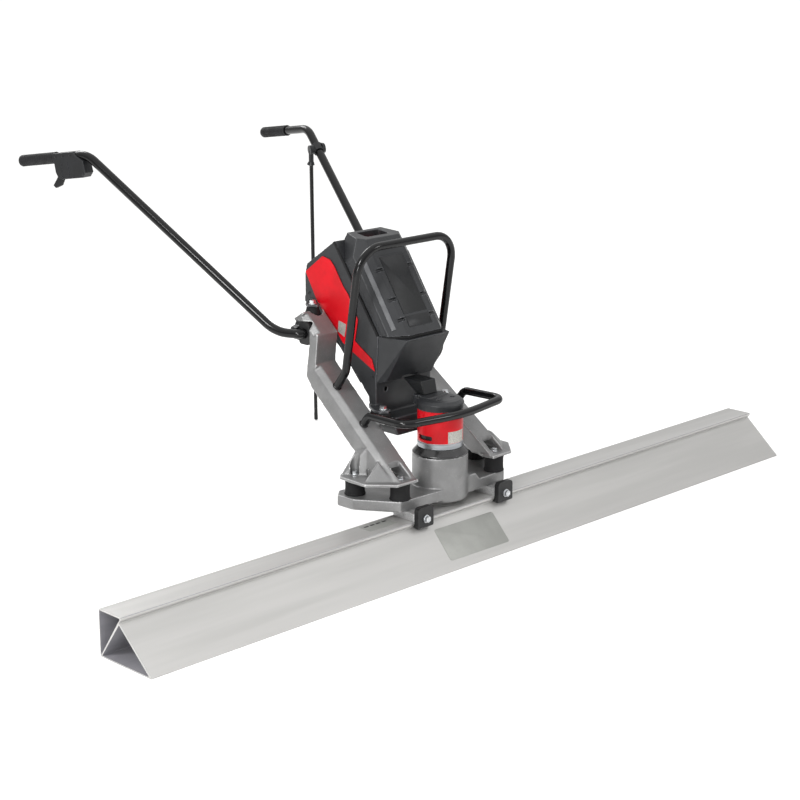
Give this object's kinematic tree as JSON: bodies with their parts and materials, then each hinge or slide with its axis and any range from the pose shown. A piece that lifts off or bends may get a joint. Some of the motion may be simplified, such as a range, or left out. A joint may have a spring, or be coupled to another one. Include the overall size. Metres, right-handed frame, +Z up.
{
  "type": "power screed",
  "caption": "Battery-powered vibrating concrete screed: a long hollow aluminium board with a clamped exciter base, sprung power head, guard tubes, twin handlebars and a kickstand.",
  "frame": {"origin": "on the board's flat sole, under the exciter's mid-plane and half way across the sole", "axes": "+X along the board, +Y to the rear, where the operator stands, +Z up"},
  "size_m": [2.438, 1.4113, 0.9995],
  "materials": {
    "aluminium": "satin extruded",
    "casting": "silver-grey painted casting",
    "black_tube": "gloss black",
    "plastic": "textured dark grey",
    "dark_plastic": "textured near black",
    "red_plastic": "satin red",
    "rubber": "matte",
    "zinc": "bright zinc plate",
    "steel": "ground steel",
    "winding": "enamelled copper windings",
    "circuit": "circuit board"
  },
  "bodies": {
    "frame": {"screed_board": "aluminium", "base_casting": "casting", "clamp_foot_left": "casting", "clamp_foot_right": "casting", "exciter_collar": "black_tube", "motor_ring": "aluminium", "bearing_lower": "steel", "bearing_upper": "steel", "motor_housing": "red_plastic", "stator": "winding", "motor_cap": "dark_plastic", "cable_duct": "plastic", "isolator_front_left": "rubber", "isolator_front_right": "rubber", "foot_bolt_front_left": "zinc", "foot_bolt_front_right": "zinc", "isolator_rear_left": "rubber", "isolator_rear_right": "rubber", "foot_bolt_rear_left": "zinc", "foot_bolt_rear_right": "zinc", "leg_left": "casting", "leg_right": "casting", "roll_bar": "black_tube", "bumper_bar": "black_tube", "handle_clamp_left": "black_tube", "handle_clamp_right": "black_tube", "power_head_housing": "plastic", "side_panel_left": "red_plastic", "side_panel_right": "red_plastic", "rear_cover": "dark_plastic", "controller_board": "circuit", "battery_guard": "plastic", "lower_mount_left": "rubber", "lower_mount_right": "rubber", "upper_mount_left": "rubber", "upper_mount_right": "rubber", "ear_bolt_left": "zinc", "ear_bolt_right": "zinc", "upper_bolt_left": "zinc", "upper_bolt_right": "zinc"},
    "exciter": {"exciter_shaft": "steel", "eccentric_weight": "steel", "rotor": "steel"},
    "handlebar_left": {"handlebar_left": "black_tube", "grip_left": "rubber", "switch_box": "dark_plastic"},
    "handlebar_right": {"handlebar_right": "black_tube", "grip_right": "rubber", "kickstand_clip": "dark_plastic"},
    "trigger": {"trigger_lever": "rubber"},
    "knob_left": {"handle_knob_left": "rubber"},
    "knob_right": {"handle_knob_right": "rubber"},
    "kickstand": {"kickstand_socket": "dark_plastic", "kickstand_rod": "black_tube"},
    "battery": {"battery_case": "plastic"},
    "latch": {"battery_latch": "red_plastic"},
    "clamp_left": {"clamp_jaw_left": "black_tube", "clamp_bolt_left": "zinc"},
    "clamp_right": {"clamp_jaw_right": "black_tube", "clamp_bolt_right": "zinc"}
  },
  "joints": [
    {"name": "exciter_spin", "type": "hinge", "parent": "frame", "child": "exciter", "pos_m": [0, 0.096, 0.26], "axis": [0, 0, 1], "continuous": true},
    {"name": "handlebar_left_fold", "type": "hinge", "parent": "frame", "child": "handlebar_left", "pos_m": [-0.172, 0.42, 0.553], "axis": [1, 0, 0], "range_deg": [-35, 40]},
    {"name": "handlebar_right_fold", "type": "hinge", "parent": "frame", "child": "handlebar_right", "pos_m": [0.172, 0.42, 0.553], "axis": [1, 0, 0], "range_deg": [-35, 40]},
    {"name": "knob_left_turn", "type": "hinge", "parent": "frame", "child": "knob_left", "pos_m": [-0.169, 0.458, 0.553], "axis": [0, 1, 0], "range_deg": [0, 360]},
    {"name": "knob_right_turn", "type": "hinge", "parent": "frame", "child": "knob_right", "pos_m": [0.169, 0.458, 0.553], "axis": [0, 1, 0], "range_deg": [0, 360]},
    {"name": "trigger_pull", "type": "hinge", "parent": "handlebar_left", "child": "trigger", "pos_m": [-0.42797, 1.15565, 0.93398], "axis": [0.9855, 0.1696, 0], "range_deg": [0, 20], "stiffness_Nm_per_rad": 0.5, "springref_deg": -14.32},
    {"name": "kickstand_fold", "type": "hinge", "parent": "handlebar_right", "child": "kickstand", "pos_m": [0.36874, 0.99671, 0.93589], "axis": [-0.924, 0.3703, -0.0958], "range_deg": [0, 55]},
    {"name": "battery_slide", "type": "slide", "parent": "frame", "child": "battery", "axis": [0, 0.5592, 0.829], "range_m": [0, 0.12]},
    {"name": "battery_latch_squeeze", "type": "slide", "parent": "battery", "child": "latch", "axis": [0, -1, 0], "range_m": [0, 0.006], "stiffness_N_per_m": 600, "springref_m": -0.004},
    {"name": "clamp_left_release", "type": "slide", "parent": "frame", "child": "clamp_left", "axis": [0, -1, 0], "range_m": [0, 0.008]},
    {"name": "clamp_right_release", "type": "slide", "parent": "frame", "child": "clamp_right", "axis": [0, -1, 0], "range_m": [0, 0.008]}
  ]
}
